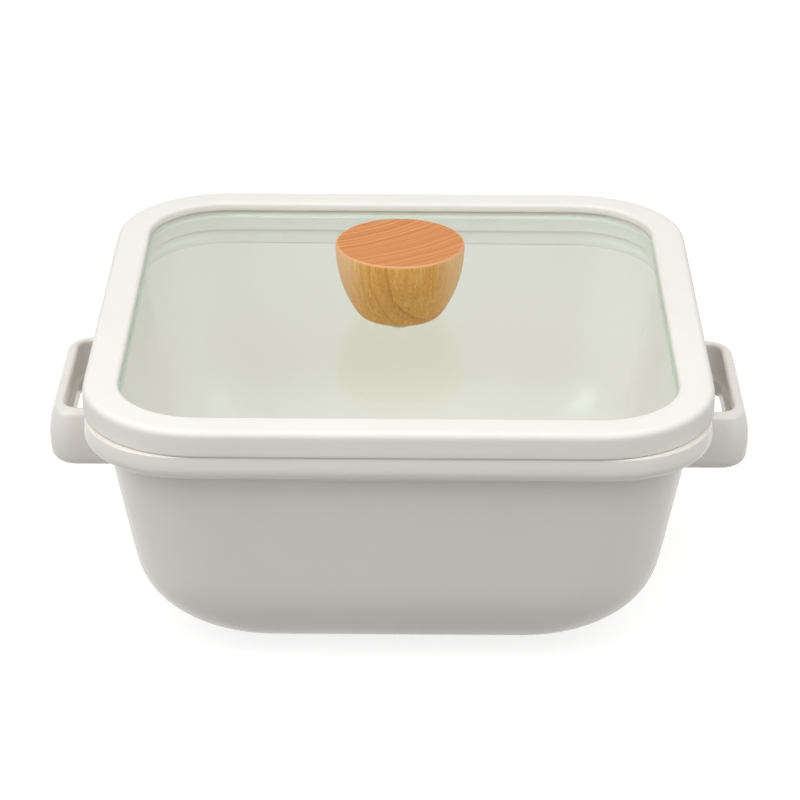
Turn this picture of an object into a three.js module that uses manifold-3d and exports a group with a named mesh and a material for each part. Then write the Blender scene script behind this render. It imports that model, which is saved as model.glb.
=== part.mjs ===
// Square enamelled pot with two tray-shaped handles and a flat glass lid in a silicone ring.
// Millimetres, +Z up. The origin is the middle of the base, on the surface the pot stands on.
// +X runs from handle to handle and +Y away from the front.

import * as THREE from 'three';
import { mergeVertices } from 'three/addons/utils/BufferGeometryUtils.js';
import Module from 'manifold-3d';

// How finely round shapes are cut into flats
const cornerSteps = 9;
const turnedSides = 40;
const bendSteps = 4;

// Lid outline, and how far it stands out over the sides of the pot's rim
const lidSize = 200;
const lidCornerRadius = 38;
const lidOverhang = 0.8;
const lidSeatGap = 0.3;

// Pot shell: one drawn sheet, stepped out below the mouth to make the rim, which leans in at its top
const potHeight = 85.2;
const wall = 2.2;
const rimHeight = 9.1;
const rimStep = 6;
const rimCornerRadius = 31;
const rimLean = 12;
const shoulderRadius = 4.4;
const leastStepFillet = 0.4;
const leastInnerBend = 0.3;
const rimEdgeRadius = 0.4;
const draftAngle = 9.5;
const bottomRadius = 37;
const wallCornerRadius = 32.4;
const cornerTaper = 0.21;

// Handles: open-topped trays with a thicker brim, welded to the side walls, with a finger slot in
// the floor
const handleLength = 64.4;
const handleHeight = 20.2;
const handleDrop = 8.6;
const handleReach = 26.1;
const handleThickness = 3.2;
const handleBrim = 0.8;
const handleFloor = 6.2;
const handleCornerRadius = 8.5;
const handleTopEdge = 2;
const handleBottomEdge = 3.5;
const handleTopTuck = 2;
const handleBottomTuck = 0.6;
const handleWeldGap = 0.3;
const slotSideLedge = 1.4;
const slotEndLedge = 1.4;
const slotBackLedge = 5;
const slotCornerRadius = 4;
const slotFlareShare = 0.35;
const slotSideFlare = 0.6;
const slotEndFlare = 1.4;

// Silicone ring round the glass
const ringHeight = 8.5;
const ringWidth = 11.4;
const ringLipHeight = 3;
const ringTopEdge = 2.2;
const ringLipEdge = 1.2;
const ringBottomEdge = 1;
const skirtEdge = 0.8;
const skirtSideGap = 1;
const skirtLedgeGap = 2.6;

// Glass
const glassThickness = 4;
const glassGrip = 5.7;
const glassFitGap = 0.3;

// Wooden knob and the screw that holds it
const knobTopRadius = 21.4;
const knobBaseRadius = 14.1;
const knobHeight = 24.7;
const knobEdgeRadius = 0.8;
const knobFullness = 0.45;
const knobGlassGap = 0.3;
const screwRadius = 2.5;
const screwHeadRadius = 4;
const screwHeadHeight = 1.6;
const screwHeadEdge = 0.7;
const screwEngagement = 9;
const recessWidth = 1.1;
const recessLength = 4.6;
const recessDepth = 1;
const screwFitGap = 0.3;
const insertWall = 1.4;
const insertLength = 12;
const insertFitGap = 0.3;
const insertEndGap = 0.3;
const collarWall = 0.9;
const collarEndGap = 0.3;
const upperWasherRadius = 11;
const upperWasherThickness = 1;
const lowerWasherRadius = 6.5;
const lowerWasherThickness = 0.8;
const screwWasherRadius = 5.2;
const screwWasherThickness = 0.7;

// Levels and half widths that follow from the sizes above
const radians = THREE.MathUtils.degToRad;
const draft = radians(draftAngle);
const lidCornerCentre = lidSize / 2 - lidCornerRadius;
const rimHalf = lidSize / 2 - lidOverhang;
const rimBottom = potHeight - rimHeight;
const wallTopHalf = rimHalf - rimStep;
const shoulder = Math.min(shoulderRadius, rimStep - leastStepFillet);
const stepFillet = rimStep - shoulder;
const lidSeat = potHeight + lidSeatGap;
const glassTop = ringHeight - ringLipHeight;
const glassBottom = glassTop - glassThickness;
const openingHalf = lidSize / 2 - ringWidth;
const glassHalf = openingHalf + glassGrip;
const collarRadius = screwRadius + screwFitGap + collarWall;
const glassHoleRadius = collarRadius + glassFitGap;

const wasm = await Module();
wasm.setup();

function wallHalfAt(z) {
  return wallTopHalf - (rimBottom - z) * Math.tan(draft);
}

// Corner radius of the outside seen from above: it tightens slowly from the step down to the base,
// and changes over the step to that of the rim.
function cornerAt(half) {
  const beyond = half - wallTopHalf;
  const rate = beyond > 0 ? (rimCornerRadius - wallCornerRadius) / rimStep : cornerTaper;
  return wallCornerRadius + beyond * rate;
}

// Closed rectangle with rounded corners, counter-clockwise seen from above.
function roundedLoop(halfX, halfY, radius, z, centreX = 0) {
  const points = [];
  const corners = [[1, 1], [-1, 1], [-1, -1], [1, -1]];
  corners.forEach(([signX, signY], quarter) => {
    for (let step = 0; step <= cornerSteps; step += 1) {
      const angle = (quarter + step / cornerSteps) * Math.PI / 2;
      const x = centreX + signX * (halfX - radius) + radius * Math.cos(angle);
      const y = signY * (halfY - radius) + radius * Math.sin(angle);
      points.push(new THREE.Vector3(x, y, z));
    }
  });
  return points;
}

function squareLoop({ half, radius, z }) {
  return roundedLoop(half, half, radius, z);
}

// Skin over a row of loops. A closed row joins its last loop to its first, an open one is capped.
function loft(loops, closed) {
  const count = loops[0].length;
  const positions = loops.flat().flatMap((point) => point.toArray());
  const index = [];
  const bands = closed ? loops.length : loops.length - 1;
  for (let row = 0; row < bands; row += 1) {
    const lower = row * count;
    const upper = ((row + 1) % loops.length) * count;
    for (let column = 0; column < count; column += 1) {
      const next = (column + 1) % count;
      index.push(lower + column, lower + next, upper + next);
      index.push(lower + column, upper + next, upper + column);
    }
  }
  if (!closed) {
    capLoop(positions, index, loops[0], 0, false);
    capLoop(positions, index, loops.at(-1), (loops.length - 1) * count, true);
  }
  const geometry = new THREE.BufferGeometry();
  geometry.setAttribute('position', new THREE.Float32BufferAttribute(positions, 3));
  geometry.setIndex(index);
  geometry.computeVertexNormals();
  return geometry;
}

function capLoop(positions, index, loop, first, faceUp) {
  const middle = new THREE.Vector3();
  loop.forEach((point) => middle.addScaledVector(point, 1 / loop.length));
  const hub = positions.length / 3;
  positions.push(...middle.toArray());
  loop.forEach((point, column) => {
    const next = first + (column + 1) % loop.length;
    const edge = faceUp ? [first + column, next] : [next, first + column];
    index.push(hub, ...edge);
  });
}

// Points on an arc in a section plane, angles in degrees from the outward direction.
function arc(centreHalf, centreZ, radius, from, to, steps = bendSteps) {
  const points = [];
  for (let step = 0; step <= steps; step += 1) {
    const angle = radians(from + (to - from) * step / steps);
    points.push([centreHalf + radius * Math.cos(angle), centreZ + radius * Math.sin(angle)]);
  }
  return points;
}

function turned(profile) {
  const points = profile.map(([radius, z]) => new THREE.Vector2(radius, z));
  return new THREE.LatheGeometry(points, turnedSides).rotateX(Math.PI / 2);
}

function turnedRing(innerRadius, outerRadius, bottom, top) {
  return turned([
    [innerRadius, bottom],
    [outerRadius, bottom],
    [outerRadius, top],
    [innerRadius, top],
    [innerRadius, bottom],
  ]);
}

function solidOf(geometry) {
  const bare = geometry.clone();
  bare.deleteAttribute('normal');
  bare.deleteAttribute('uv');
  const merged = mergeVertices(bare);
  return new wasm.Manifold(new wasm.Mesh({
    numProp: 3,
    vertProperties: new Float32Array(merged.attributes.position.array),
    triVerts: new Uint32Array(merged.index.array),
  }));
}

function geometryOf(solid) {
  const mesh = solid.getMesh();
  const geometry = new THREE.BufferGeometry();
  geometry.setAttribute('position', new THREE.Float32BufferAttribute(mesh.vertProperties, 3));
  geometry.setIndex(Array.from(mesh.triVerts));
  geometry.computeVertexNormals();
  return geometry;
}

function piece(name, geometry, color, roughness, metalness = 0) {
  const mesh = new THREE.Mesh(geometry, new THREE.MeshStandardMaterial({ color, roughness, metalness }));
  mesh.name = name;
  return mesh;
}

// Both faces of the sheet, from the base up to the top of the rim's shoulder.
function shellStations() {
  const bottomTangent = bottomRadius * (1 - Math.sin(draft));
  const bottomHalf = wallHalfAt(bottomTangent) - bottomRadius * Math.cos(draft);
  const filletStart = rimBottom - stepFillet * (1 - Math.sin(draft));
  const filletHalf = wallHalfAt(filletStart) + stepFillet * Math.cos(draft);
  const bends = [
    {
      half: bottomHalf,
      z: bottomRadius,
      from: -90,
      to: -draftAngle,
      outer: bottomRadius,
      inner: bottomRadius - wall,
      steps: bendSteps * 2,
    },
    {
      half: filletHalf,
      z: rimBottom - stepFillet,
      from: 180 - draftAngle,
      to: 90,
      outer: stepFillet,
      inner: stepFillet + wall,
      steps: bendSteps,
    },
    {
      half: rimHalf - shoulder,
      z: rimBottom + shoulder,
      from: -90,
      to: 0,
      outer: shoulder,
      inner: Math.max(shoulder - wall, leastInnerBend),
      steps: bendSteps,
    },
  ];
  return bends.flatMap((bend) => {
    const outside = arc(bend.half, bend.z, bend.outer, bend.from, bend.to, bend.steps);
    const inside = arc(bend.half, bend.z, bend.inner, bend.from, bend.to, bend.steps);
    return outside.map(([half, z], place) => {
      const [innerHalf, innerZ] = inside[place];
      const radius = cornerAt(half);
      return {
        outer: { half, z, radius },
        inner: { half: innerHalf, z: innerZ, radius: radius - (half - innerHalf) },
      };
    });
  });
}

function potBody() {
  const stations = shellStations();
  const rimInner = stations.at(-1).inner.half;
  const edge = Math.min(rimEdgeRadius, (rimHalf - rimInner) / 4);
  const lean = radians(rimLean);
  const crownBase = rimBottom + shoulder;
  const crownHeight = potHeight - edge * (1 - Math.sin(lean)) - crownBase;
  const crownRadius = crownHeight / Math.sin(lean);
  const crownInset = (crownRadius - edge) * (1 - Math.cos(lean));
  const rim = [
    ...arc(rimHalf - crownRadius, crownBase, crownRadius, 0, rimLean).slice(1),
    ...arc(rimHalf - crownInset - edge, potHeight - edge, edge, rimLean, 90).slice(1),
    ...arc(rimInner + edge, potHeight - edge, edge, 90, 180),
  ];
  const sections = [
    ...stations.map((station) => station.outer),
    ...rim.map(([half, z]) => ({ half, z, radius: rimCornerRadius - (rimHalf - half) })),
    ...stations.map((station) => station.inner).reverse(),
  ];
  return piece('pot_body', loft(sections.map(squareLoop), false), 0xf1efec, 0.22);
}

// The outside of the wall, grown by the welding gap, which trims the handles to the wall.
function wallTrimmer() {
  const grown = shellStations().map(({ outer }) => squareLoop({
    half: outer.half + handleWeldGap,
    radius: outer.radius + handleWeldGap,
    z: outer.z,
  }));
  return solidOf(loft(grown, false));
}

function handleGeometry() {
  const top = rimBottom - handleDrop;
  const bottom = top - handleHeight;
  const middle = (top + bottom) / 2;
  const outerX = wallHalfAt(middle) + handleReach;
  const innerX = wallHalfAt(bottom) - handleReach;
  const centreX = (outerX + innerX) / 2;

  // The wall of the tray bows out at the middle of its height.
  function tuckAt(z) {
    const height = (z - middle) / (handleHeight / 2);
    return (height > 0 ? handleTopTuck : handleBottomTuck) * height * height;
  }
  function trayLoop(inset, z) {
    const sink = inset + tuckAt(z);
    const radius = handleCornerRadius - inset;
    return roundedLoop(outerX - centreX - sink, handleLength / 2 - sink, radius, z, centreX);
  }

  const outside = [
    ...arc(0, bottom + handleBottomEdge, handleBottomEdge, -90, 0),
    ...[0.25, 0.5, 0.75].map((share) => [handleBottomEdge, bottom + handleHeight * share]),
    ...arc(handleBottomEdge - handleTopEdge, top - handleTopEdge, handleTopEdge, 0, 90),
  ].map(([half, z]) => trayLoop(handleBottomEdge - half, z));

  const floorTop = bottom + handleFloor;
  const inside = [
    ...arc(-handleTopEdge, floorTop + handleTopEdge, handleTopEdge, -90, 0),
    ...[0.4, 0.7].map((share) => [0, floorTop + (top - floorTop) * share]),
    ...arc(handleTopEdge - handleBrim, top - handleTopEdge, handleTopEdge, 180, 90),
    [handleTopEdge - handleBrim, top + handleTopEdge],
  ].map(([half, z]) => trayLoop(handleThickness - half, z));

  const slotOuter = outerX - tuckAt(floorTop) - handleThickness - slotSideLedge;
  const slotInner = wallHalfAt(floorTop) + slotBackLedge;
  const slotHalfX = (slotOuter - slotInner) / 2;
  const slotHalfY = handleLength / 2 - handleThickness - slotEndLedge;
  const slotRadius = Math.min(slotCornerRadius, slotHalfX, slotHalfY);
  const slotMiddle = (slotOuter + slotInner) / 2;

  // The slot opens out towards the underside, most of all at its ends.
  const flareTop = bottom + handleFloor * slotFlareShare;
  function slotLoop(z) {
    const flare = Math.max(0, (flareTop - z) / (flareTop - bottom));
    const halfX = slotHalfX + slotSideFlare * flare;
    const halfY = slotHalfY + slotEndFlare * flare;
    return roundedLoop(halfX, halfY, slotRadius, z, slotMiddle);
  }
  const slot = [bottom - handleFloor, flareTop, floorTop + handleFloor].map(slotLoop);

  const tray = solidOf(loft(outside, false))
    .subtract(solidOf(loft(inside, false)))
    .subtract(solidOf(loft(slot, false)))
    .subtract(wallTrimmer());
  return geometryOf(tray);
}

function lidRing() {
  const outerHalf = lidSize / 2;
  const grooveHalf = glassHalf + glassFitGap;
  const skirtOuter = rimHalf - wall - skirtSideGap;
  const skirtBottom = rimBottom + wall + skirtLedgeGap - lidSeat;
  const section = [
    ...arc(outerHalf - ringBottomEdge, ringBottomEdge, ringBottomEdge, -90, 0),
    ...arc(outerHalf - ringTopEdge, ringHeight - ringTopEdge, ringTopEdge, 0, 90),
    ...arc(openingHalf + ringLipEdge, ringHeight - ringLipEdge, ringLipEdge, 90, 180),
    [openingHalf, glassTop + glassFitGap],
    [grooveHalf, glassTop + glassFitGap],
    [grooveHalf, glassBottom - glassFitGap],
    [openingHalf, glassBottom - glassFitGap],
    ...arc(openingHalf + skirtEdge, skirtBottom + skirtEdge, skirtEdge, 180, 270),
    ...arc(skirtOuter - skirtEdge, skirtBottom + skirtEdge, skirtEdge, 270, 360),
    [skirtOuter, 0],
  ];
  const loops = section.map(([half, z]) => squareLoop({ half, z, radius: half - lidCornerCentre }));
  return piece('lid_ring', loft(loops, true), 0xf3f1ea, 0.6);
}

function lidGlass() {
  const outline = squareLoop({ half: glassHalf, radius: glassHalf - lidCornerCentre, z: 0 });
  const panel = new THREE.Shape(outline.map(({ x, y }) => new THREE.Vector2(x, y)));
  panel.holes.push(new THREE.Path().absarc(0, 0, glassHoleRadius, 0, Math.PI * 2, true));
  const geometry = new THREE.ExtrudeGeometry(panel, {
    depth: glassThickness,
    bevelEnabled: false,
    curveSegments: turnedSides / 2,
  });
  const mesh = piece('lid_glass', geometry, 0xdce8da, 0.05);
  mesh.position.z = glassBottom;
  return mesh;
}

function knobParts() {
  const base = glassTop + knobGlassGap;
  const top = glassTop + knobHeight;
  const seat = glassTop + upperWasherThickness;
  const edgeStart = top - knobEdgeRadius;
  const insertRadius = screwRadius + screwFitGap + insertWall;
  const boreRadius = insertRadius + insertFitGap;
  const boreTop = seat + insertLength + insertEndGap * 2;
  const washerPocket = upperWasherRadius + insertFitGap;
  const pocketRadius = Math.min(washerPocket, (washerPocket + knobBaseRadius) / 2);
  const side = new THREE.QuadraticBezierCurve(
    new THREE.Vector2(knobBaseRadius, base),
    new THREE.Vector2(knobTopRadius, base + (edgeStart - base) * knobFullness),
    new THREE.Vector2(knobTopRadius, edgeStart),
  );
  const knob = turned([
    [0, boreTop],
    [boreRadius, boreTop],
    [boreRadius, seat],
    [pocketRadius, seat],
    [pocketRadius, base],
    ...side.getPoints(bendSteps * 2).map((point) => point.toArray()),
    ...arc(knobTopRadius - knobEdgeRadius, edgeStart, knobEdgeRadius, 0, 90).slice(1),
    [0, top],
  ]);
  const insertBottom = seat + insertEndGap;
  const insert = turnedRing(screwRadius + screwFitGap, insertRadius, insertBottom, insertBottom + insertLength);
  const upperWasher = turnedRing(screwRadius + screwFitGap, pocketRadius - insertFitGap, glassTop, seat);
  return [
    piece('lid_knob', knob, 0xd49a5f, 0.55),
    piece('knob_insert', insert, 0xc09a48, 0.35, 1),
    piece('knob_upper_washer', upperWasher, 0xeeece4, 0.6),
  ];
}

function screwParts() {
  const lowerTop = glassBottom;
  const lowerBottom = lowerTop - lowerWasherThickness;
  const plateBottom = lowerBottom - screwWasherThickness;
  const headBottom = plateBottom - screwHeadHeight;
  const holeRadius = screwRadius + screwFitGap;
  const lowerWasher = turned([
    [holeRadius, lowerBottom],
    [lowerWasherRadius, lowerBottom],
    [lowerWasherRadius, lowerTop],
    [collarRadius, lowerTop],
    [collarRadius, glassTop - collarEndGap],
    [holeRadius, glassTop - collarEndGap],
    [holeRadius, lowerBottom],
  ]);
  const plate = turnedRing(holeRadius, screwWasherRadius, plateBottom, lowerBottom);
  const shankTop = glassTop + upperWasherThickness + screwEngagement;
  const blank = turned([
    [0, headBottom],
    ...arc(screwHeadRadius - screwHeadEdge, headBottom + screwHeadEdge, screwHeadEdge, -90, 0),
    [screwHeadRadius, plateBottom],
    [screwRadius, plateBottom],
    [screwRadius, shankTop],
    [0, shankTop],
  ]);
  const screw = [0, Math.PI / 2].reduce((solid, angle) => {
    const slot = new THREE.BoxGeometry(recessLength, recessWidth, recessDepth * 2).rotateZ(angle);
    return solid.subtract(solidOf(slot.translate(0, 0, headBottom)));
  }, solidOf(blank));
  return [
    piece('knob_lower_washer', lowerWasher, 0xeeece4, 0.6),
    piece('knob_screw_washer', plate, 0xc9c9c6, 0.3, 1),
    piece('knob_screw', geometryOf(screw), 0xc9c9c6, 0.3, 1),
  ];
}

const rightHandle = piece('right_handle', handleGeometry(), 0xf1efec, 0.22);
const leftHandle = piece('left_handle', rightHandle.geometry.clone(), 0xf1efec, 0.22);
leftHandle.rotation.z = Math.PI;

const pot = new THREE.Group();
pot.add(potBody(), leftHandle, rightHandle);

const lid = new THREE.Group();
lid.position.z = lidSeat;
lid.add(lidGlass(), lidRing(), ...knobParts(), ...screwParts());

const squarePot = new THREE.Group();
squarePot.add(pot, lid);

export default squarePot;
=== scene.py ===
import math
import bmesh
import bpy
from mathutils import Matrix, Vector


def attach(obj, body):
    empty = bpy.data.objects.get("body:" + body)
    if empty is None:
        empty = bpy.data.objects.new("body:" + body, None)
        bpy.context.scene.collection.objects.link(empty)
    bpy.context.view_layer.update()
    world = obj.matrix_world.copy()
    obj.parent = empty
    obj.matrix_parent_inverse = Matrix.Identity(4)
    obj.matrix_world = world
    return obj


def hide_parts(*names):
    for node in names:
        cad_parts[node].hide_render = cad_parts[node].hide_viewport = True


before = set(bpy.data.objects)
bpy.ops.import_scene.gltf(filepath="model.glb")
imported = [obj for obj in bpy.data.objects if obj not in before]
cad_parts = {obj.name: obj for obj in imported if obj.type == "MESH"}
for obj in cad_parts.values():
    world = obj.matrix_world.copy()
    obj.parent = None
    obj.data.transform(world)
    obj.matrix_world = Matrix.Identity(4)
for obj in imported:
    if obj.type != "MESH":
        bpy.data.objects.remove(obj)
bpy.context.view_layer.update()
print("frame loaded:", len(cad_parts), "nodes")

mm = 0.001  # the scene is in metres, sizes in the dictionaries are in millimetres
sameSpot = 0.002 * mm  # points closer than this are one
sameSize = 1e-4  # a growth closer to 1 than this is none
quarters = [(1, 1), (-1, 1), (-1, -1), (1, -1)]


def clearSelection():
    if bpy.context.object is not None and bpy.context.object.mode != "OBJECT":
        bpy.ops.object.mode_set(mode="OBJECT")
    bpy.ops.object.select_all(action="DESELECT")


def workOn(piece, mode="EDIT"):
    clearSelection()
    piece.select_set(True)
    bpy.context.view_layer.objects.active = piece
    bpy.ops.object.mode_set(mode=mode)


def nameNew(name):
    piece = bpy.context.object
    piece.name = name
    piece.data.name = name
    return piece


def pickPoints(piece, numbers):
    bpy.ops.mesh.select_all(action="DESELECT")
    mesh = bmesh.from_edit_mesh(piece.data)
    mesh.verts.ensure_lookup_table()
    for number in numbers:
        mesh.verts[number].select = True
    mesh.select_flush(True)
    bmesh.update_edit_mesh(piece.data)


def pickedPoints(piece):
    mesh = bmesh.from_edit_mesh(piece.data)
    mesh.verts.index_update()
    return [(point.index, point.co.copy()) for point in mesh.verts if point.select]


def pickWhere(piece, test):
    mesh = bmesh.from_edit_mesh(piece.data)
    mesh.verts.index_update()
    pickPoints(piece, [point.index for point in mesh.verts if test(point.co)])


def turnOutwards():
    bpy.ops.mesh.select_all(action="SELECT")
    bpy.ops.mesh.remove_doubles(threshold=sameSpot)
    bpy.ops.mesh.normals_make_consistent(inside=False)


def smoothed(piece, levels=1):
    workOn(piece, "OBJECT")
    smoothing = piece.modifiers.new("smoothing", "SUBSURF")
    smoothing.levels = levels
    smoothing.render_levels = levels
    bpy.ops.object.modifier_apply(modifier=smoothing.name)
    bpy.ops.object.shade_smooth()


def arc(half, z, radius, start, end, steps):
    # points on a bend of a section, angles in degrees from the outward direction
    turns = [math.radians(start + (end - start) * step / steps) for step in range(steps + 1)]
    return [(half + radius * math.cos(turn), z + radius * math.sin(turn)) for turn in turns]


def between(start, end, steps):
    # points strictly between two points of a section
    shares = [step / (steps + 1) for step in range(1, steps + 1)]
    return [tuple(a + (b - a) * share for a, b in zip(start, end)) for share in shares]


# A loop is (half width in X, half width in Y, corner radius, height, middle in X). The first is
# a plane with bevelled corners. Each further one is extruded, and its corners moved and scaled.
def firstLoop(name, loop, segments, sideCuts):
    halfX, halfY, radius, z, middle = loop
    clearSelection()
    bpy.ops.mesh.primitive_plane_add(size=2)
    piece = nameNew(name)
    bpy.ops.object.mode_set(mode="EDIT")
    bpy.ops.mesh.select_mode(type="VERT")
    bpy.ops.transform.resize(value=(halfX * mm, halfY * mm, 1))
    bpy.ops.transform.translate(value=(middle * mm, 0, z * mm))
    bpy.ops.mesh.bevel(affect="VERTICES", offset=radius * mm, segments=segments)
    bpy.ops.mesh.delete(type="ONLY_FACE")
    bpy.ops.mesh.select_all(action="DESELECT")
    mesh = bmesh.from_edit_mesh(piece.data)
    for edge in sorted(mesh.edges, key=lambda edge: edge.calc_length())[-4:]:  # the straight sides
        edge.select_set(True)
    bmesh.update_edit_mesh(piece.data)
    if sideCuts:
        bpy.ops.mesh.subdivide(number_cuts=sideCuts)
    bpy.ops.mesh.select_all(action="SELECT")
    return piece


def cornerMiddle(loop, signX, signY):
    halfX, halfY, radius, z, middle = loop
    return Vector((middle + signX * (halfX - radius), signY * (halfY - radius), 0)) * mm


def nextLoop(piece, before, after):
    oldRadius, oldZ, oldMiddle = before[2:]
    newRadius, newZ = after[2:4]
    rise = (newZ - oldZ) * mm
    bpy.ops.mesh.extrude_region_move(TRANSFORM_OT_translate={"value": (0, 0, rise)})
    ring = pickedPoints(piece)
    growth = newRadius / oldRadius
    for signX, signY in quarters:
        pickPoints(piece, [number for number, place in ring
                           if (place.x - oldMiddle * mm) * signX > 0 and place.y * signY > 0])
        oldCorner, newCorner = [cornerMiddle(loop, signX, signY) for loop in (before, after)]
        if abs(growth - 1) < sameSize:
            bpy.ops.transform.translate(value=newCorner - oldCorner)
        else:
            pivot = (newCorner - oldCorner * growth) / (1 - growth)
            bpy.ops.transform.resize(value=(growth, growth, 1), center_override=pivot)
    pickPoints(piece, [number for number, place in ring])


def loopSkin(name, loops, segments, sideCuts):
    piece = firstLoop(name, loops[0], segments, sideCuts)
    for before, after in zip(loops, loops[1:]):
        nextLoop(piece, before, after)
    return piece


def openPoints(piece):
    # the points along the open ends of a skin
    mesh = bmesh.from_edit_mesh(piece.data)
    mesh.verts.index_update()
    return [(point.index, point.co.copy()) for point in mesh.verts if point.is_boundary]


def joinEnds(piece):
    pickPoints(piece, [number for number, place in openPoints(piece)])
    bpy.ops.mesh.bridge_edge_loops()


def closedSkin(name, loops, segments, sideCuts):
    piece = loopSkin(name, loops, segments, sideCuts)
    joinEnds(piece)
    turnOutwards()
    return piece


def turnedSkin(name, profile, sides):
    # a circle, extruded and scaled up the profile of (radius, height)
    clearSelection()
    radius, z = profile[0]
    bpy.ops.mesh.primitive_circle_add(vertices=sides, radius=radius * mm)
    piece = nameNew(name)
    bpy.ops.object.mode_set(mode="EDIT")
    bpy.ops.mesh.select_mode(type="VERT")
    bpy.ops.transform.translate(value=(0, 0, z * mm))
    for (oldRadius, oldZ), (newRadius, newZ) in zip(profile, profile[1:]):
        rise = (newZ - oldZ) * mm
        growth = newRadius / oldRadius
        bpy.ops.mesh.extrude_region_move(TRANSFORM_OT_translate={"value": (0, 0, rise)})
        bpy.ops.transform.resize(value=(growth, growth, 1), center_override=(0, 0, 0))
    return piece


def closeEnd(numbers, piece, insets):
    # a flat end, with loops inside it that keep it flat
    pickPoints(piece, numbers)
    bpy.ops.mesh.edge_face_add()
    for inset in insets:
        bpy.ops.mesh.inset(thickness=inset * mm)


def tone(red, green, blue):
    # a colour as a paint program gives it, made linear
    parts = [value / 255 for value in (red, green, blue)]
    return tuple(v / 12.92 if v <= 0.04045 else ((v + 0.055) / 1.055) ** 2.4 for v in parts) + (1,)


def put(piece, body, slot, *nodes):
    clearSelection()
    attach(piece, body)
    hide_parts(*nodes)
    print(piece.name, "done:", len(piece.data.polygons), "faces")


# Pot: one drawn sheet with a stepped rim
potShell = dict(
    rimHalf=99.2, rimTop=85.2, rimBottom=76.1, rimCorner=31, rimEdge=0.4, rimLean=9, rimBulge=0.5,
    shoulder=4.4, stepFillet=1.6, wallTopHalf=93.2, wallCorner=32.4, cornerTaper=0.21,
    draft=9.5, bottomRadius=37, wall=2.2, seatMiddle=61, segments=12, sideCuts=8, flatInsets=[6, 14],
    bottomSteps=12, wallSteps=6, bendSteps=5, rimSteps=3, edgeSteps=3,
)


def wallHalfAt(z):
    fall = potShell["rimBottom"] - z
    return potShell["wallTopHalf"] - fall * math.tan(math.radians(potShell["draft"]))


def cornerAt(half):
    beyond = half - potShell["wallTopHalf"]
    rate = potShell["cornerTaper"]
    if beyond > 0:
        rise = potShell["rimCorner"] - potShell["wallCorner"]
        rate = rise / (potShell["rimHalf"] - potShell["wallTopHalf"])
    return potShell["wallCorner"] + beyond * rate


def shellSide(depth):
    # section of one face of the sheet, from the base to the rim: depth 0 outside, wall inside
    shell = potShell
    draft = math.radians(shell["draft"])
    bottomTangent = shell["bottomRadius"] * (1 - math.sin(draft))
    bottomHalf = wallHalfAt(bottomTangent) - shell["bottomRadius"] * math.cos(draft)
    filletStart = shell["rimBottom"] - shell["stepFillet"] * (1 - math.sin(draft))
    filletHalf = wallHalfAt(filletStart) + shell["stepFillet"] * math.cos(draft)
    bottom = arc(bottomHalf, shell["bottomRadius"], shell["bottomRadius"] - depth,
                 -90, -shell["draft"], shell["bottomSteps"])
    fillet = arc(filletHalf, shell["rimBottom"] - shell["stepFillet"], shell["stepFillet"] + depth,
                 180 - shell["draft"], 90, shell["bendSteps"])
    shoulder = arc(shell["rimHalf"] - shell["shoulder"], shell["rimBottom"] + shell["shoulder"],
                   shell["shoulder"] - depth, -90, 0, shell["bendSteps"])
    return bottom + between(bottom[-1], fillet[0], shell["wallSteps"]) + fillet + shoulder


def shellLoops():
    shell = potShell
    outside, inside = shellSide(0), shellSide(shell["wall"])
    innerHalf = shell["rimHalf"] - shell["wall"]
    edge = shell["rimEdge"]
    edgeZ = shell["rimTop"] - edge
    # the outside of the rim leans in towards its top
    lean = math.radians(shell["rimLean"])
    crownBase = shell["rimBottom"] + shell["shoulder"]
    crownRadius = (edgeZ + edge * math.sin(lean) - crownBase) / math.sin(lean)
    crownInset = (crownRadius - edge) * (1 - math.cos(lean))
    rim = arc(shell["rimHalf"] - crownRadius, crownBase, crownRadius,
              0, shell["rimLean"], shell["rimSteps"])[1:]
    rim += arc(shell["rimHalf"] - crownInset - edge, edgeZ, edge,
               shell["rimLean"], 90, shell["edgeSteps"])[1:]
    seat = arc(innerHalf + edge, edgeZ, edge, 90, 180, shell["edgeSteps"])
    seat += between((innerHalf, edgeZ), inside[-1], shell["rimSteps"])

    def shellLoop(half, radius, z):
        # the rim bulges a little more at the front and the back than at the sides
        step = (half - shell["wallTopHalf"]) / (shell["rimHalf"] - shell["wallTopHalf"])
        return half, half + shell["rimBulge"] * min(max(step, 0), 1), radius, z, 0

    loops = [shellLoop(half, cornerAt(half), z) for half, z in outside]
    loops += [shellLoop(half, shell["rimCorner"] - (shell["rimHalf"] - half), z) for half, z in rim]
    # inside the rim the corners follow the skirt of the lid, from the ledge up
    loops += [shellLoop(half, half - shell["seatMiddle"], z) for half, z in seat]
    ledgeHalf = shell["rimHalf"] - shell["shoulder"]
    widening = shell["rimHalf"] - shell["rimCorner"] - shell["seatMiddle"]
    outerHalves = [half for half, z in outside]
    for outerHalf, (half, z) in reversed(list(zip(outerHalves, inside))):
        follow = max(half - ledgeHalf, 0) / (innerHalf - ledgeHalf)
        loops.append(shellLoop(half, cornerAt(outerHalf) - (outerHalf - half) + widening * follow, z))
    return loops


def makePotShell():
    piece = loopSkin("potShell", shellLoops(), potShell["segments"], potShell["sideCuts"])
    ends = openPoints(piece)
    middle = potShell["wall"] / 2 * mm
    inner = [number for number, place in ends if place.z > middle]
    outer = [number for number, place in ends if place.z < middle]
    closeEnd(inner, piece, potShell["flatInsets"])
    closeEnd(outer, piece, potShell["flatInsets"])
    turnOutwards()
    smoothed(piece)
    return piece


pot = makePotShell()
put(pot, "pot", "enamel", "pot_body")


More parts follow.
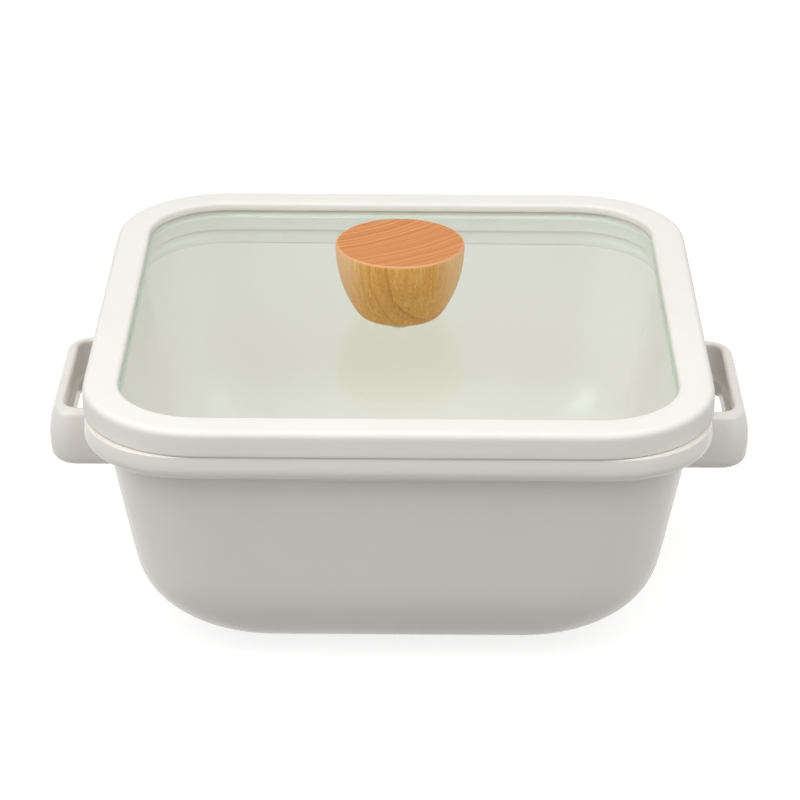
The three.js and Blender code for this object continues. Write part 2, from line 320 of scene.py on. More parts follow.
# Handles: trays with a thick soft brim, open at the top, with a finger slot in the floor
tray = dict(
    top=67.5, bottom=47.3, outer=116.17, inner=62.28, halfLength=32.2, corner=8.5,
    thickness=3.2, brim=0.8, floor=6.2, topEdge=2.0, bottomEdge=3.5, floorFillet=0.75,
    topTuck=2.0, bottomTuck=0.6, wallSteps=4, edgeSteps=4, fineSteps=3,
    slotOuter=111.3, slotInner=94.42, slotHalfLength=27.3, slotCorner=4, slotEdge=0.6, slotFlare=1.2,
    segments=10, longSide=6, longCuts=8,
    weldSink=-0.4, weldCut=-1.2,
    weldFlare=[(2.4, 0), (1.6, 0.03), (1.0, 0.1), (0.5, 0.24), (0.1, 0.42), (-0.6, 0.62)],
)


def trayLoops():
    bottom, top = tray["bottom"], tray["top"]
    middleZ = (bottom + top) / 2
    middle = (tray["outer"] + tray["inner"]) / 2
    reach = (tray["outer"] - tray["inner"]) / 2
    floorTop = bottom + tray["floor"]

    def trayLoop(inset, z):
        height = (z - middleZ) / ((top - bottom) / 2)
        tuck = tray["topTuck" if height > 0 else "bottomTuck"] * height * height
        sink = inset + tuck
        return reach - sink, tray["halfLength"] - sink, tray["corner"] - inset, z, middle

    slotReach = (tray["slotOuter"] - tray["slotInner"]) / 2
    slotMiddle = (tray["slotOuter"] + tray["slotInner"]) / 2

    def slotLoop(grow, z):
        flare = tray["slotFlare"] * (floorTop - z) / tray["floor"]  # the ends slope out downwards
        halfLength = tray["slotHalfLength"] + grow + flare
        return slotReach + grow, halfLength, tray["slotCorner"] + grow, z, slotMiddle

    edge, deep = tray["slotEdge"], tray["thickness"]
    steps, fineSteps = tray["edgeSteps"], tray["fineSteps"]
    slot = arc(edge, bottom + edge, edge, 270, 180, fineSteps)
    slot += arc(edge, floorTop - edge, edge, 180, 90, fineSteps)
    fillet, tip, low = tray["floorFillet"], tray["topEdge"], tray["bottomEdge"]
    inside = arc(deep + fillet, floorTop + fillet, fillet, 270, 180, fineSteps)
    brim = arc(deep + tray["brim"] - tip, top - tip, tip, 0, 90, steps)
    brim += arc(tip, top - tip, tip, 90, 180, steps)
    outside = arc(low, bottom + low, low, 180, 270, steps)
    walls = inside + between(inside[-1], brim[0], tray["wallSteps"]) + brim
    walls += between(brim[-1], outside[0], tray["wallSteps"]) + outside
    return [slotLoop(*place) for place in slot] + [trayLoop(*place) for place in walls]


def cutLongSides(piece):
    # the straight sides of every loop are cut, so that smoothing leaves them straight
    bpy.ops.mesh.select_mode(type="EDGE")
    bpy.ops.mesh.select_all(action="DESELECT")
    mesh = bmesh.from_edit_mesh(piece.data)
    for edge in mesh.edges:
        run = [abs(value) for value in edge.verts[1].co - edge.verts[0].co]
        if max(run[:2]) > tray["longSide"] * mm and min(run[:2]) + run[2] < sameSpot:
            edge.select_set(True)
    bmesh.update_edit_mesh(piece.data)
    bpy.ops.mesh.subdivide(number_cuts=tray["longCuts"])
    bpy.ops.mesh.select_mode(type="VERT")


def makeHandle():
    piece = loopSkin("rightHandle", trayLoops(), tray["segments"], 0)
    joinEnds(piece)
    cutLongSides(piece)
    turnOutwards()
    smoothed(piece)
    workOn(piece)
    draft = math.radians(potShell["draft"])
    outward = Vector((math.cos(draft), 0, -math.sin(draft)))
    onWall = Vector((wallHalfAt(tray["top"]), 0, tray["top"])) * mm

    def fromWall(place):
        return (place - onWall).dot(outward)

    def cutAt(distance, **settings):
        bpy.ops.mesh.select_all(action="SELECT")
        bpy.ops.mesh.bisect(plane_co=onWall + outward * distance * mm, plane_no=outward,
                            threshold=sameSpot / 2, **settings)

    # the weld: loops close to the wall swell more, the closer they are to it
    cutAt(tray["weldCut"], clear_inner=True)
    for distance, flare in tray["weldFlare"]:
        cutAt(distance)
    rings = []
    for distance, flare in tray["weldFlare"][1:]:
        pickWhere(piece, lambda place: abs(fromWall(place) - distance * mm) < sameSpot * 2)
        rings.append(([number for number, place in pickedPoints(piece)], flare))
    rings.append(([number for number, place in openPoints(piece)], tray["weldFlare"][-1][1]))
    for numbers, flare in rings:
        pickPoints(piece, numbers)
        bpy.ops.transform.shrink_fatten(value=flare * mm)
    # cut off just behind the wall's face and closed
    cutAt(tray["weldSink"], clear_inner=True)
    pickPoints(piece, [number for number, place in openPoints(piece)])
    bpy.ops.mesh.edge_face_add()
    turnOutwards()
    workOn(piece, "OBJECT")
    bpy.ops.object.shade_smooth()
    return piece


def makeOtherHandle(original):
    workOn(original, "OBJECT")
    bpy.ops.object.duplicate()
    piece = nameNew("leftHandle")
    workOn(piece)
    bpy.ops.mesh.select_all(action="SELECT")
    bpy.ops.transform.resize(value=(-1, -1, 1), center_override=(0, 0, 0))  # a half turn
    workOn(piece, "OBJECT")
    return piece


rightHandle = makeHandle()
leftHandle = makeOtherHandle(rightHandle)
put(rightHandle, "pot", "enamel", "right_handle")
put(leftHandle, "pot", "enamel", "left_handle")


# Lid: silicone ring, with a skirt that drops inside the rim
seal = dict(
    outer=100, cornerMiddle=62, bottom=85.27, top=94.0, topEdge=2.2, bottomEdge=0.7,
    opening=88.6, lipEdge=1.2, glassTop=91.0, glassBottom=87.0, grip=94.5, squeeze=0.06,
    skirtOuter=96, bead=[(89.2, 82.0), (89.26, 81.7), (89.5, 81.45), (90.2, 81.1), (90.4, 80.8)],
    foot=[(90.6, 77.2), (90.74, 76.1), (90.86, 75.72), (91.0, 75.95),
          (91.42, 76.8), (92.3, 77.95), (94.6, 79.0)],
    footFrom=79, footMiddle=61, grooveEdge=0.15, skirtLow=0.9, skirtHigh=0.4,
    segments=14, sideCuts=8, edgeSteps=5, lipSteps=4, lowSteps=3, flatSteps=3, outerSteps=2,
)


def makeSeal():
    outer, opening = seal["outer"], seal["opening"]
    topEdge, lowEdge, lip = seal["topEdge"], seal["bottomEdge"], seal["lipEdge"]
    low = arc(outer - lowEdge, seal["bottom"] + lowEdge, lowEdge, -90, 0, seal["lowSteps"])
    high = arc(outer - topEdge, seal["top"] - topEdge, topEdge, 0, 90, seal["edgeSteps"])
    lipBend = arc(opening + lip, seal["top"] - lip, lip, 90, 180, seal["lipSteps"])
    # the groove's faces press a little into the glass
    glassTop, glassBottom = seal["glassTop"] - seal["squeeze"], seal["glassBottom"] + seal["squeeze"]
    soft = seal["grooveEdge"]
    groove = [(opening, glassTop + soft), (opening + soft, glassTop), (seal["grip"], glassTop),
              (seal["grip"], glassBottom), (opening + soft, glassBottom), (opening, glassBottom - soft)]
    section = low + between(low[-1], high[0], seal["outerSteps"]) + high
    section += between(high[-1], lipBend[0], seal["flatSteps"]) + lipBend + groove
    # the inner face of the skirt ends in a bead, and its foot wipes the wall of the pot
    bead, foot = seal["bead"], seal["foot"]
    section += between(groove[-1], bead[0], seal["flatSteps"]) + bead
    section += between(bead[-1], foot[0], seal["flatSteps"]) + foot
    skirtHeights = (foot[-1][1] + seal["skirtLow"], seal["bottom"] - seal["skirtHigh"], seal["bottom"])
    section += [(seal["skirtOuter"], z) for z in skirtHeights]
    # the foot has rounder corners than the rest, as the wall has
    middles = [seal["footMiddle" if z < seal["footFrom"] else "cornerMiddle"] for half, z in section]
    loops = [(half, half, half - middle, z, 0) for (half, z), middle in zip(section, middles)]
    piece = closedSkin("lidSeal", loops, seal["segments"], seal["sideCuts"])
    smoothed(piece)
    return piece


lidSeal = makeSeal()
put(lidSeal, "lid", "ring_silicone", "lid_ring")


# Glass: a flat pane with ground edges and a hole for the screw
pane = dict(half=94.3, corner=32.3, bottom=87.0, top=91.0, arris=0.5, hole=4.0, holeSides=52,
            segments=12, sharpAngle=20)


def makePane():
    bottom, top, arris = pane["bottom"], pane["top"], pane["arris"]
    section = [(arris, bottom), (0, bottom + arris), (0, top - arris), (arris, top)]
    halves = [pane["half"] - inset for inset, z in section]
    loops = [(half, half, pane["corner"] - inset, z, 0) for half, (inset, z) in zip(halves, section)]
    piece = loopSkin("lidPane", loops, pane["segments"], 0)
    bpy.ops.mesh.select_all(action="DESELECT")
    bpy.ops.mesh.primitive_circle_add(vertices=pane["holeSides"], radius=pane["hole"] * mm,
                                      location=(0, 0, bottom * mm))
    bpy.ops.mesh.extrude_region_move(TRANSFORM_OT_translate={"value": (0, 0, (top - bottom) * mm)})
    for z in (bottom, top):
        pickWhere(piece, lambda place: abs(place.z - z * mm) < sameSpot)
        bpy.ops.mesh.bridge_edge_loops()
    turnOutwards()
    workOn(piece, "OBJECT")
    bpy.ops.object.shade_smooth_by_angle(angle=math.radians(pane["sharpAngle"]))
    return piece


lidPane = makePane()
put(lidPane, "lid", "lid_glass", "lid_glass")


# Knob: turned beech, its base hollowed for the washer and the insert
knob = dict(
    base=91.3, top=115.7, baseRadius=14.1, topRadius=21.4, edge=0.8, fullness=0.45, baseEdge=0.4,
    pocketRadius=11.3, pocketTop=92.0, boreRadius=4.5, boreTop=104.6, sides=72, sideSteps=22,
    edgeSteps=5, topInsets=[0.6, 4, 8], boreInsets=[1], baseEdgeEnd=330, baseSteps=2,
    leastRise=0.2, sharpAngle=35,
)


def makeKnob():
    base, edgeZ = knob["base"], knob["top"] - knob["edge"]
    control = base + (edgeZ - base) * knob["fullness"]
    profile = [(knob["boreRadius"], knob["boreTop"]), (knob["boreRadius"], knob["pocketTop"]),
               (knob["pocketRadius"], knob["pocketTop"]), (knob["pocketRadius"], base)]
    baseEdge = knob["baseEdge"]
    profile += arc(knob["baseRadius"] - baseEdge, base + baseEdge, baseEdge,
                   270, knob["baseEdgeEnd"], knob["baseSteps"])
    for step in range(1, knob["sideSteps"]):
        share = step / knob["sideSteps"]
        radius = (1 - share) ** 2 * knob["baseRadius"] + (1 - (1 - share) ** 2) * knob["topRadius"]
        z = (1 - share) ** 2 * base + 2 * share * (1 - share) * control + share ** 2 * edgeZ
        if z > profile[-1][1] + knob["leastRise"]:
            profile.append((radius, z))
    profile += arc(knob["topRadius"] - knob["edge"], edgeZ, knob["edge"], 0, 90, knob["edgeSteps"])
    piece = turnedSkin("woodKnob", profile, knob["sides"])
    total = len(bmesh.from_edit_mesh(piece.data).verts)
    closeEnd(range(total - knob["sides"], total), piece, knob["topInsets"])
    closeEnd(range(knob["sides"]), piece, knob["boreInsets"])
    turnOutwards()
    workOn(piece, "OBJECT")
    bpy.ops.object.shade_smooth_by_angle(angle=math.radians(knob["sharpAngle"]))
    return piece


woodKnob = makeKnob()
put(woodKnob, "lid", "knob_wood", "lid_knob")


# Screw and washers under the glass
fixing = dict(
    sides=48, shankRadius=2.5, shankTop=101.0, headRadius=3.6, headTop=85.5, headBottom=84.1,
    headDome=0.9, crossLength=4.2, crossWidth=1.1, crossDepth=1.0, holeRadius=2.8,
    plateRadius=5.2, plateBottom=85.5, plateTop=86.2, plateEdge=0.2,
    padRadius=6.5, padBottom=86.2, padTop=87.0, padEdge=0.3, collarRadius=3.7, collarTop=90.7,
    edgeSteps=3, domeSteps=6, headEdge=0.2, tipEdge=0.5, tipInsets=[0.5], headInsets=[0.4],
    crossTaper=(0.6, 0.7, 1), sharpAngle=35,
)


def ringSection(hole, outer, bottom, top, edge):
    steps = fixing["edgeSteps"]
    section = arc(hole + edge, bottom + edge, edge, 180, 270, steps)
    section += arc(outer - edge, bottom + edge, edge, 270, 360, steps)
    section += arc(outer - edge, top - edge, edge, 0, 90, steps)
    return section


def closedTurn(name, section):
    piece = turnedSkin(name, section, fixing["sides"])
    total = len(bmesh.from_edit_mesh(piece.data).verts)
    pickPoints(piece, list(range(fixing["sides"])) + list(range(total - fixing["sides"], total)))
    bpy.ops.mesh.bridge_edge_loops()
    turnOutwards()
    workOn(piece, "OBJECT")
    bpy.ops.object.shade_smooth_by_angle(angle=math.radians(fixing["sharpAngle"]))
    return piece


def makePad():
    section = ringSection(fixing["holeRadius"], fixing["padRadius"], fixing["padBottom"],
                          fixing["padTop"], fixing["padEdge"])
    section += [(fixing["collarRadius"], fixing["padTop"]), (fixing["collarRadius"], fixing["collarTop"]),
                (fixing["holeRadius"], fixing["collarTop"])]
    return closedTurn("screwPad", section)


def makePlate():
    edge = fixing["plateEdge"]
    section = ringSection(fixing["holeRadius"], fixing["plateRadius"], fixing["plateBottom"],
                          fixing["plateTop"], edge)
    section += arc(fixing["holeRadius"] + edge, fixing["plateTop"] - edge, edge,
                   90, 180, fixing["edgeSteps"])
    return closedTurn("screwPlate", section)


def makeScrew():
    dome, head, shank = fixing["headDome"], fixing["headRadius"], fixing["shankRadius"]
    headTop, shankTop = fixing["headTop"], fixing["shankTop"]
    headEdge, tipEdge = fixing["headEdge"], fixing["tipEdge"]
    profile = arc(head - dome, fixing["headBottom"] + dome, dome, 270, 360, fixing["domeSteps"])
    profile += [(head, headTop - headEdge), (head - headEdge, headTop), (shank, headTop),
                (shank, shankTop - tipEdge), (shank - tipEdge, shankTop)]
    piece = turnedSkin("knobScrew", profile, fixing["sides"])
    total = len(bmesh.from_edit_mesh(piece.data).verts)
    closeEnd(range(total - fixing["sides"], total), piece, fixing["tipInsets"])
    closeEnd(range(fixing["sides"]), piece, fixing["headInsets"])
    turnOutwards()
    # cross recess: two bars, narrower towards the bottom of the recess
    for turn in (0, 90):
        clearSelection()
        bpy.ops.mesh.primitive_cube_add(size=2)
        bar = nameNew("crossBar")
        bpy.ops.object.mode_set(mode="EDIT")
        size = (fixing["crossLength"] / 2 * mm, fixing["crossWidth"] / 2 * mm, fixing["crossDepth"] * mm)
        bpy.ops.transform.resize(value=size)
        pickWhere(bar, lambda place: place.z > 0)
        bpy.ops.transform.resize(value=fixing["crossTaper"], center_override=(0, 0, 0))
        bpy.ops.mesh.select_all(action="SELECT")
        bpy.ops.transform.rotate(value=math.radians(turn), orient_axis="Z", center_override=(0, 0, 0))
        bpy.ops.transform.translate(value=(0, 0, fixing["headBottom"] * mm))
        workOn(piece, "OBJECT")
        cut = piece.modifiers.new("recess", "BOOLEAN")
        cut.operation = "DIFFERENCE"
        cut.object = bar
        bpy.ops.object.modifier_apply(modifier=cut.name)
        bpy.data.objects.remove(bar)
    workOn(piece, "OBJECT")
    bpy.ops.object.shade_smooth_by_angle(angle=math.radians(fixing["sharpAngle"]))
    return piece


screwPad = makePad()
screwPlate = makePlate()
knobScrew = makeScrew()
put(screwPad, "lid", "washer_silicone", "knob_lower_washer")
put(screwPlate, "lid", "screw_steel", "knob_screw_washer")
put(knobScrew, "lid", "screw_steel", "knob_screw")


# Materials
def feed(tree, node, inputs):
    # each input gets a value, or a link where a socket is given
    for key, value in inputs.items():
        if isinstance(value, bpy.types.NodeSocket):
            tree.links.new(value, node.inputs[key])
        else:
            node.inputs[key].default_value = value


def addNode(tree, kind, inputs=None, **settings):
    node = tree.nodes.new(kind)
    for key, value in settings.items():
        setattr(node, key, value)
    feed(tree, node, inputs or {})
    return node


def vectorMath(tree, operation, *inputs):
    node = addNode(tree, "ShaderNodeVectorMath", dict(enumerate(inputs)), operation=operation)
    return node.outputs["Value" if operation == "LENGTH" else "Vector"]


def numberMath(tree, operation, *inputs):
    node = addNode(tree, "ShaderNodeMath", dict(enumerate(inputs)), operation=operation)
    return node.outputs["Value"]


def spanned(tree, value, span):
    return addNode(tree, "ShaderNodeMapRange", {"Value": value, **span}).outputs["Result"]


def mixed(tree, factor, first, second):
    inputs = {"Factor": factor, "A": first, "B": second}
    return addNode(tree, "ShaderNodeMix", inputs, data_type="RGBA").outputs["Result"]


def noise(tree, place, look):
    return addNode(tree, "ShaderNodeTexNoise", {"Vector": place, **look}).outputs["Fac"]


def lineNoise(tree, place, look):
    # noise along one number
    inputs = {"W": place, **look}
    return addNode(tree, "ShaderNodeTexNoise", inputs, noise_dimensions="1D").outputs["Fac"]


def makeGroup(name, inputs):
    # both groups give a colour, a roughness and a height for the bump
    group = bpy.data.node_groups.new(name, "ShaderNodeTree")
    outputs = {"Colour": "Color", "Roughness": "Float", "Height": "Float"}
    for direction, sockets in (("INPUT", inputs), ("OUTPUT", outputs)):
        for socketName, kind in sockets.items():
            group.interface.new_socket(socketName, in_out=direction, socket_type="NodeSocket" + kind)
    return group, addNode(group, "NodeGroupInput").outputs, addNode(group, "NodeGroupOutput")


glaze = dict(
    clouds={"Detail": 3, "Roughness": 0.55}, cloudSpan={"From Min": 0.3, "From Max": 0.7},
    peel={"Detail": 2, "Roughness": 0.5},
)


def makeGlazeGroup():
    # broad clouds in tone and polish, and the fine peel of a fired or moulded skin
    group, given, end = makeGroup("glazeSkin", {
        "Vector": "Vector", "Pale": "Color", "Dusky": "Color", "Cloud Scale": "Float",
        "Peel Scale": "Float", "Smooth": "Float", "Rough": "Float"})
    place, span = given["Vector"], glaze["cloudSpan"]
    clouds = noise(group, place, {"Scale": given["Cloud Scale"], **glaze["clouds"]})
    peel = noise(group, place, {"Scale": given["Peel Scale"], **glaze["peel"]})
    colour = mixed(group, spanned(group, clouds, span), given["Pale"], given["Dusky"])
    polish = spanned(group, clouds, {"To Min": given["Smooth"], "To Max": given["Rough"], **span})
    feed(group, end, {"Colour": colour, "Roughness": polish, "Height": peel})
    return group


lathe = dict(marks={"Scale": 1, "Detail": 2}, polish={"To Min": 0.22, "To Max": 0.38})


def makeLatheGroup():
    # fine rings left by the lathe round the Z axis
    group, given, end = makeGroup("latheMarks", {
        "Vector": "Vector", "Pitch": "Float", "Bright": "Color", "Dull": "Color"})
    flat = vectorMath(group, "MULTIPLY", given["Vector"], (1 / mm, 1 / mm, 0))
    turns = numberMath(group, "DIVIDE", vectorMath(group, "LENGTH", flat), given["Pitch"])
    marks = lineNoise(group, turns, lathe["marks"])
    colour = mixed(group, marks, given["Bright"], given["Dull"])
    polish = spanned(group, marks, lathe["polish"])
    feed(group, end, {"Colour": colour, "Roughness": polish, "Height": marks})
    return group


def startMaterial(name):
    material = bpy.data.materials.new(name)
    material.use_nodes = True
    tree = material.node_tree
    tree.nodes.clear()
    shader = addNode(tree, "ShaderNodeBsdfPrincipled")
    output = addNode(tree, "ShaderNodeOutputMaterial", {"Surface": shader.outputs["BSDF"]})
    return material, tree, shader, output


def skinned(name, group, look):
    material, tree, shader, output = startMaterial(name)
    where = addNode(tree, "ShaderNodeTexCoord").outputs["Object"]
    skin = addNode(tree, "ShaderNodeGroup", {"Vector": where, **look["skin"]}, node_tree=group).outputs
    bump = addNode(tree, "ShaderNodeBump", {"Height": skin["Height"], **look["bump"]})
    feed(tree, shader, {"Base Color": skin["Colour"], "Roughness": skin["Roughness"],
                        "Normal": bump.outputs["Normal"], **look["shader"]})
    return material, tree, shader, output


enamelLook = dict(
    skin={"Pale": tone(243, 239, 232), "Dusky": tone(240, 236, 228),
          "Cloud Scale": 14, "Peel Scale": 420, "Smooth": 0.2, "Rough": 0.26},
    bump={"Strength": 0.3, "Distance": 0.02 * mm}, shader={},
)
siliconeLook = dict(
    skin={"Pale": tone(244, 242, 236), "Dusky": tone(241, 239, 232),
          "Cloud Scale": 24, "Peel Scale": 1600, "Smooth": 0.5, "Rough": 0.58},
    bump={"Strength": 0.3, "Distance": 0.01 * mm}, shader={"Specular IOR Level": 0.3},
)
steelLook = dict(
    skin={"Pitch": 0.16, "Bright": tone(212, 210, 198), "Dull": tone(194, 192, 180)},
    bump={"Strength": 0.2, "Distance": 0.02 * mm}, shader={"Metallic": 1},
)
brassLook = dict(
    skin={"Pitch": 0.3, "Bright": tone(222, 190, 120), "Dull": tone(196, 160, 92)},
    bump={"Strength": 0.2, "Distance": 0.02 * mm}, shader={"Metallic": 1},
)

glazeSkin = makeGlazeGroup()
latheMarks = makeLatheGroup()
enamel = skinned("enamel", glazeSkin, enamelLook)[0]
silicone = skinned("silicone", glazeSkin, siliconeLook)[0]
steel = skinned("steel", latheMarks, steelLook)[0]
brass = skinned("brass", latheMarks, brassLook)[0]


glassLook = dict(
    skin={"Pale": tone(248, 255, 254), "Dusky": tone(247, 254, 252),
          "Cloud Scale": 9, "Peel Scale": 60, "Smooth": 0.0, "Rough": 0.012},
    bump={"Strength": 0.3, "Distance": 0.0005 * mm}, shader={"Transmission Weight": 1, "IOR": 1.16},
    # painted shade, tinted green, in a band where the pane goes under the lip
    lipShadeWidth=1.1, lipShadeTone=tone(196, 238, 206), sideFade=0.6, shadowTone=(0.99, 1, 1, 1),
)


def makeGlass():
    material, tree, shader, output = skinned("lidGlass", glazeSkin, glassLook)
    # painted shade: the colour darkens to green where the pane goes under the lip, less so at the sides
    middle = seal["cornerMiddle"]
    corner = Vector((middle + glassLook["sideFade"], middle, pane["top"])) * mm  # no point is higher
    where = addNode(tree, "ShaderNodeTexCoord").outputs["Object"]
    pastCorner = vectorMath(tree, "SUBTRACT", vectorMath(tree, "ABSOLUTE", where), corner)
    away = vectorMath(tree, "LENGTH", vectorMath(tree, "MAXIMUM", pastCorner, (0, 0, 0)))
    lip = (seal["opening"] - middle) * mm
    paintedLipShade = spanned(tree, away, {"From Min": lip - glassLook["lipShadeWidth"] * mm, "From Max": lip})
    plain = shader.inputs["Base Color"].links[0].from_socket
    feed(tree, shader, {"Base Color": mixed(tree, paintedLipShade, plain, glassLook["lipShadeTone"])})
    # lamps reach the inside of the pot through the pane
    path = addNode(tree, "ShaderNodeLightPath")
    clear = addNode(tree, "ShaderNodeBsdfTransparent", {"Color": glassLook["shadowTone"]})
    through, surface = clear.outputs["BSDF"], shader.outputs["BSDF"]
    for ray in ("Is Diffuse Ray", "Is Shadow Ray"):
        choice = addNode(tree, "ShaderNodeMixShader", {0: path.outputs[ray], 1: surface, 2: through})
        surface = choice.outputs["Shader"]
    feed(tree, output, {"Surface": surface})
    return material


glass = makeGlass()


# each layer has a tone, and a span of the noise or the place where it shows
beech = dict(
    ringMiddle=(-46, 66, 0), ringStretch=(1, 1, 0.03), ringPitch=4.4, wander=2.6,
    sway={"Scale": 0.06, "Detail": 2}, uneven={"Scale": 0.16, "Detail": 1}, unevenReach=5,
    ringStops=((0.75, 0.08), (0.92, 0.45), (0.97, 1)), ringEnds=(0, 0.3),
    fibreStretch=(0.8, 0.8, 0.04), fibre={"Scale": 1, "Detail": 4, "Roughness": 0.65},
    fleckStretch=(2.2, 2.2, 1.0), fleck={"Scale": 1, "Detail": 1}, streak={"Scale": 0.55, "Detail": 4},
    topBase=tone(213, 141, 76), topLight=tone(238, 182, 126),
    topSpan={"From Min": 115.0, "From Max": 115.5},
    streakTone=tone(190, 110, 50), streakSpan={"From Min": 0.36, "From Max": 0.7, "To Max": 0.8},
    sideBase=tone(242, 184, 95), sideLine=tone(212, 146, 66),
    darkTone=tone(226, 161, 72), darkSpan={"From Min": 0.42, "From Max": 0.75, "To Max": 0.7},
    paleTone=tone(252, 208, 132), paleSpan={"From Min": 0.48, "From Max": 0.28, "To Max": 0.8},
    fleckTone=tone(208, 142, 62), fleckSpan={"From Min": 0.54, "From Max": 0.7, "To Max": 0.6},
    # painted sheen: paler and pinker towards the left and right edges of the side
    paintedSheenTone=tone(255, 218, 174), paintedSheenSpan={"From Min": 11, "From Max": 20, "To Max": 0.7},
    # painted highlight: a pale line on the turned edge of the top
    edgeHighlightTone=tone(246, 196, 156), edgeHighlightSpan={"From Min": 20.5, "From Max": 21.0, "To Max": 0.5},
    polish={"To Min": 0.45, "To Max": 0.62}, bump={"Strength": 0.25, "Distance": 0.04 * mm},
)


def makeBeech():
    material, tree, shader = startMaterial("beech")[:3]
    where = addNode(tree, "ShaderNodeTexCoord").outputs["Object"]
    inMm = addNode(tree, "ShaderNodeMapping", {
        "Vector": where, "Scale": (1 / mm, 1 / mm, 1 / mm)}).outputs["Vector"]
    # distance from the heart of the tree, bent by slow noise
    fromHeart = vectorMath(tree, "SUBTRACT", inMm, beech["ringMiddle"])
    away = vectorMath(tree, "LENGTH", vectorMath(tree, "MULTIPLY", fromHeart, beech["ringStretch"]))
    sway = numberMath(tree, "MULTIPLY", noise(tree, inMm, beech["sway"]), beech["wander"])
    bent = numberMath(tree, "ADD", away, sway)
    # one ring after another, each of its own width
    shift = numberMath(tree, "MULTIPLY", lineNoise(tree, bent, beech["uneven"]), beech["unevenReach"])
    rings = numberMath(tree, "DIVIDE", numberMath(tree, "ADD", bent, shift), beech["ringPitch"])
    ringLine = addNode(tree, "ShaderNodeValToRGB", {"Fac": numberMath(tree, "FRACT", rings)})
    ramp = ringLine.color_ramp
    for end, value in zip(ramp.elements, beech["ringEnds"]):
        end.color = (value, value, value, 1)
    for position, value in beech["ringStops"]:
        ramp.elements.new(position).color = (value, value, value, 1)
    lines = ringLine.outputs["Color"]
    # end grain, with streaks along the rings
    streak = spanned(tree, lineNoise(tree, bent, beech["streak"]), beech["streakSpan"])
    topTone = mixed(tree, lines, beech["topBase"], beech["topLight"])
    topTone = mixed(tree, streak, topTone, beech["streakTone"])
    # the side: long fibres, short flecks, and a painted sheen, paler and pinker, at the left and the
    # right edges
    fibre = noise(tree, vectorMath(tree, "MULTIPLY", inMm, beech["fibreStretch"]), beech["fibre"])
    fleck = noise(tree, vectorMath(tree, "MULTIPLY", inMm, beech["fleckStretch"]), beech["fleck"])
    split = addNode(tree, "ShaderNodeSeparateXYZ", {"Vector": inMm})
    aside = numberMath(tree, "ABSOLUTE", split.outputs["X"])
    sideTone = mixed(tree, lines, beech["sideBase"], beech["sideLine"])
    for layer, value in (("dark", fibre), ("pale", fibre), ("fleck", fleck), ("paintedSheen", aside)):
        share = spanned(tree, value, beech[layer + "Span"])
        sideTone = mixed(tree, share, sideTone, beech[layer + "Tone"])
    # painted highlight: the turned edge of the top is paler
    onTop = spanned(tree, split.outputs["Z"], beech["topSpan"])
    fromAxis = vectorMath(tree, "LENGTH", vectorMath(tree, "MULTIPLY", inMm, (1, 1, 0)))
    onHighlightEdge = numberMath(tree, "MULTIPLY", spanned(tree, fromAxis, beech["edgeHighlightSpan"]), onTop)
    whole = mixed(tree, onHighlightEdge, mixed(tree, onTop, sideTone, topTone), beech["edgeHighlightTone"])
    bump = addNode(tree, "ShaderNodeBump", {"Height": fibre, **beech["bump"]})
    feed(tree, shader, {"Base Color": whole, "Roughness": spanned(tree, fibre, beech["polish"]),
                        "Normal": bump.outputs["Normal"]})
    return material


wood = makeBeech()


def dress(material, *pieces):
    for piece in pieces:
        piece.data.materials.clear()
        piece.data.materials.append(material)


dress(enamel, pot, rightHandle, leftHandle)
dress(silicone, lidSeal, screwPad)
dress(glass, lidPane)
dress(wood, woodKnob)
dress(steel, screwPlate, knobScrew)
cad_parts["knob_insert"].material_slots[0].material = brass
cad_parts["knob_upper_washer"].material_slots[0].material = silicone
print("materials done")


# Studio: a floor that looks white, one large lamp overhead, others in front and at the sides
studio = dict(
    floorSize=8, floorDrop=0.2, floorShade=0.43, fill=0.18, aim=(0, 0, 0.05),
    floor={"Base Color": tone(140, 140, 140), "Roughness": 0.9,
           "Emission Color": (1, 1, 1, 1), "Emission Strength": 0.84},
    lamps=dict(
        topLamp=dict(place=(0, -0.15, 1.3), size=(1.8, 1.8), glow=1.23),
        frontLamp=dict(place=(0, -0.95, 0.95), size=(1.6, 0.7), glow=1.19),
        leftLamp=dict(place=(-1.1, -0.35, 0.85), size=(0.7, 0.9), glow=2.95),
        rightLamp=dict(place=(1.1, -0.4, 0.9), size=(0.7, 0.9), glow=1.95),
    ),
)


def seenDirectly(tree):
    # 1 where the camera sees a surface, or sees it in gloss or through glass
    path = addNode(tree, "ShaderNodeLightPath")
    seen = path.outputs["Is Camera Ray"]
    for ray in ("Is Glossy Ray", "Is Transmission Ray"):
        seen = numberMath(tree, "MAXIMUM", seen, path.outputs[ray])
    return seen


def makeFloor():
    # where the camera sees it, it glows: for the light on the part it is plain grey paper
    clearSelection()
    bpy.ops.mesh.primitive_plane_add(size=studio["floorSize"], location=(0, 0, -studio["floorDrop"] * mm))
    floor = nameNew("floor")
    material, tree, shader, output = startMaterial("paper")
    feed(tree, shader, studio["floor"])
    shade = studio["floorShade"]
    dull = addNode(tree, "ShaderNodeBsdfDiffuse", {"Color": (shade, shade, shade, 1)})
    blend = addNode(tree, "ShaderNodeMixShader", {
        0: seenDirectly(tree), 1: dull.outputs["BSDF"], 2: shader.outputs["BSDF"]})
    feed(tree, output, {"Surface": blend.outputs["Shader"]})
    dress(material, floor)


def makeLampReach():
    # lamps leave no mirrored squares on the pane, their light still passes through it
    reach = bpy.data.collections.new("lampReach")
    reach.objects.link(lidPane)
    reach.collection_objects[0].light_linking.link_state = "EXCLUDE"
    return reach


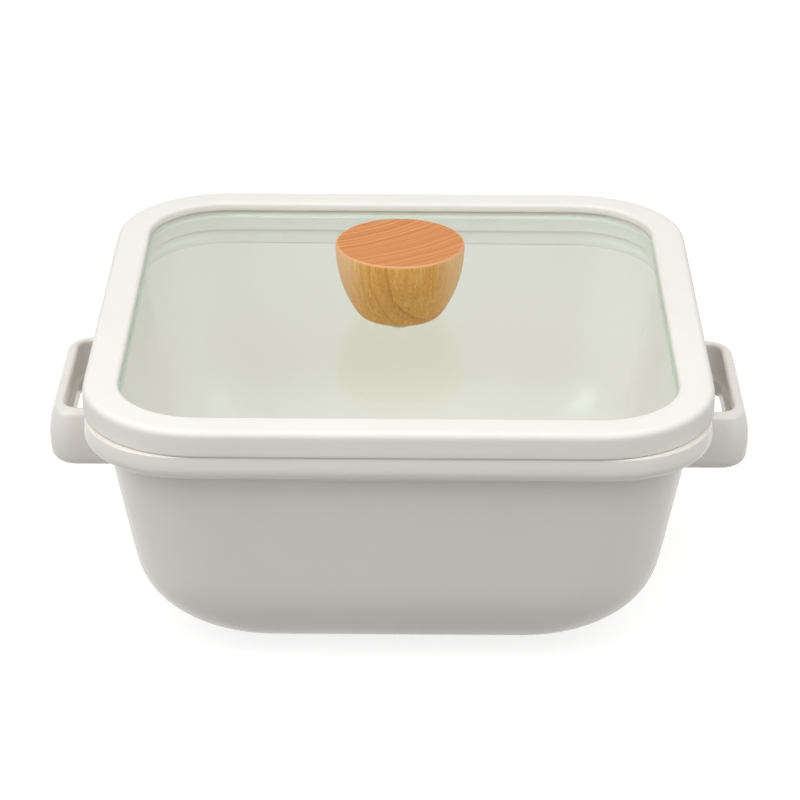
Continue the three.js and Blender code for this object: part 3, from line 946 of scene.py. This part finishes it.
def addLamp(name, look, reach):
    clearSelection()
    bpy.ops.object.light_add(type="AREA", location=look["place"])
    lamp = bpy.context.object
    lamp.name = name
    lamp.light_linking.receiver_collection = reach
    lamp.data.shape = "RECTANGLE"
    lamp.data.size, lamp.data.size_y = look["size"]
    lamp.data.energy = look["glow"] * math.pi * look["size"][0] * look["size"][1]
    towards = Vector(studio["aim"]) - Vector(look["place"])
    lamp.rotation_euler = towards.to_track_quat("-Z", "Y").to_euler()


def makeWorld():
    world = bpy.data.worlds.new("studioAir")
    bpy.context.scene.world = world
    world.use_nodes = True
    tree = world.node_tree
    tree.nodes.clear()
    strength = spanned(tree, seenDirectly(tree), {"To Min": studio["fill"], "To Max": 1})
    air = addNode(tree, "ShaderNodeBackground", {"Strength": strength})
    addNode(tree, "ShaderNodeOutputWorld", {"Surface": air.outputs["Background"]})


view = dict(
    place=(4.382, -916.921, 495.099), pitch=25.4996, yaw=0.2620, roll=0.2581,
    lens=134.49, sensor=36, nearest=10,
)


def makeCamera():
    clearSelection()
    bpy.ops.object.camera_add()
    camera = bpy.context.object
    camera.data.lens = view["lens"]
    camera.data.sensor_width = view["sensor"]
    camera.data.clip_start = view["nearest"] * mm
    pitch, yaw, roll = [math.radians(view[key]) for key in ("pitch", "yaw", "roll")]
    level = Vector((math.cos(yaw), math.sin(yaw), 0))
    ahead = Vector((-math.sin(yaw), math.cos(yaw), 0))
    up = Vector((0, 0, 1))
    look = ahead * math.cos(pitch) - up * math.sin(pitch)
    upright = ahead * math.sin(pitch) + up * math.cos(pitch)
    across = level * math.cos(roll) + upright * math.sin(roll)
    above = upright * math.cos(roll) - level * math.sin(roll)
    turn = Matrix((across, above, -look)).transposed().to_4x4()
    camera.matrix_world = Matrix.Translation(Vector(view["place"]) * mm) @ turn
    bpy.context.scene.camera = camera


makeFloor()
lampReach = makeLampReach()
for lampName, lampLook in studio["lamps"].items():
    addLamp(lampName, lampLook, lampReach)
makeWorld()
makeCamera()
bpy.context.scene.view_settings.view_transform = "Standard"
print("studio done")
